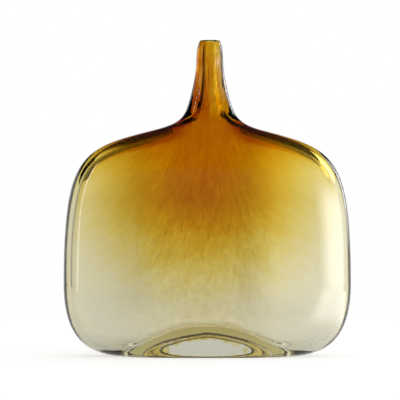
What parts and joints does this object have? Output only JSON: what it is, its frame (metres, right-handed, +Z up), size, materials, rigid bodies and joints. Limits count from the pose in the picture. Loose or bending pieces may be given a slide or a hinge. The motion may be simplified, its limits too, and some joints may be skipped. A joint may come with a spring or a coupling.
{
  "type": "glass vase",
  "caption": "Free-standing blown glass vase with a broad flattened body, sloping shoulders, a slim flared neck and a kick-up base, clear glass shading up to amber.",
  "frame": {"origin": "middle of the foot ring's plane, on the surface that the vase stands on, under the middle of the body", "axes": "+Z up to the lip, +X along the broad faces, +Y through the thin way, with the pictured face towards -Y"},
  "size_m": [0.31, 0.104, 0.34],
  "materials": {
    "clear_glass": "fire-polished, slightly wavy, straw tinted clear glass",
    "amber_glass": "fire-polished amber glass that fades downwards"
  },
  "bodies": {
    "root": {"kick_up_base": "clear_glass", "body_casing": "clear_glass", "neck_casing": "clear_glass", "amber_lining": "amber_glass", "lip": "amber_glass"}
  },
  "joints": []
}
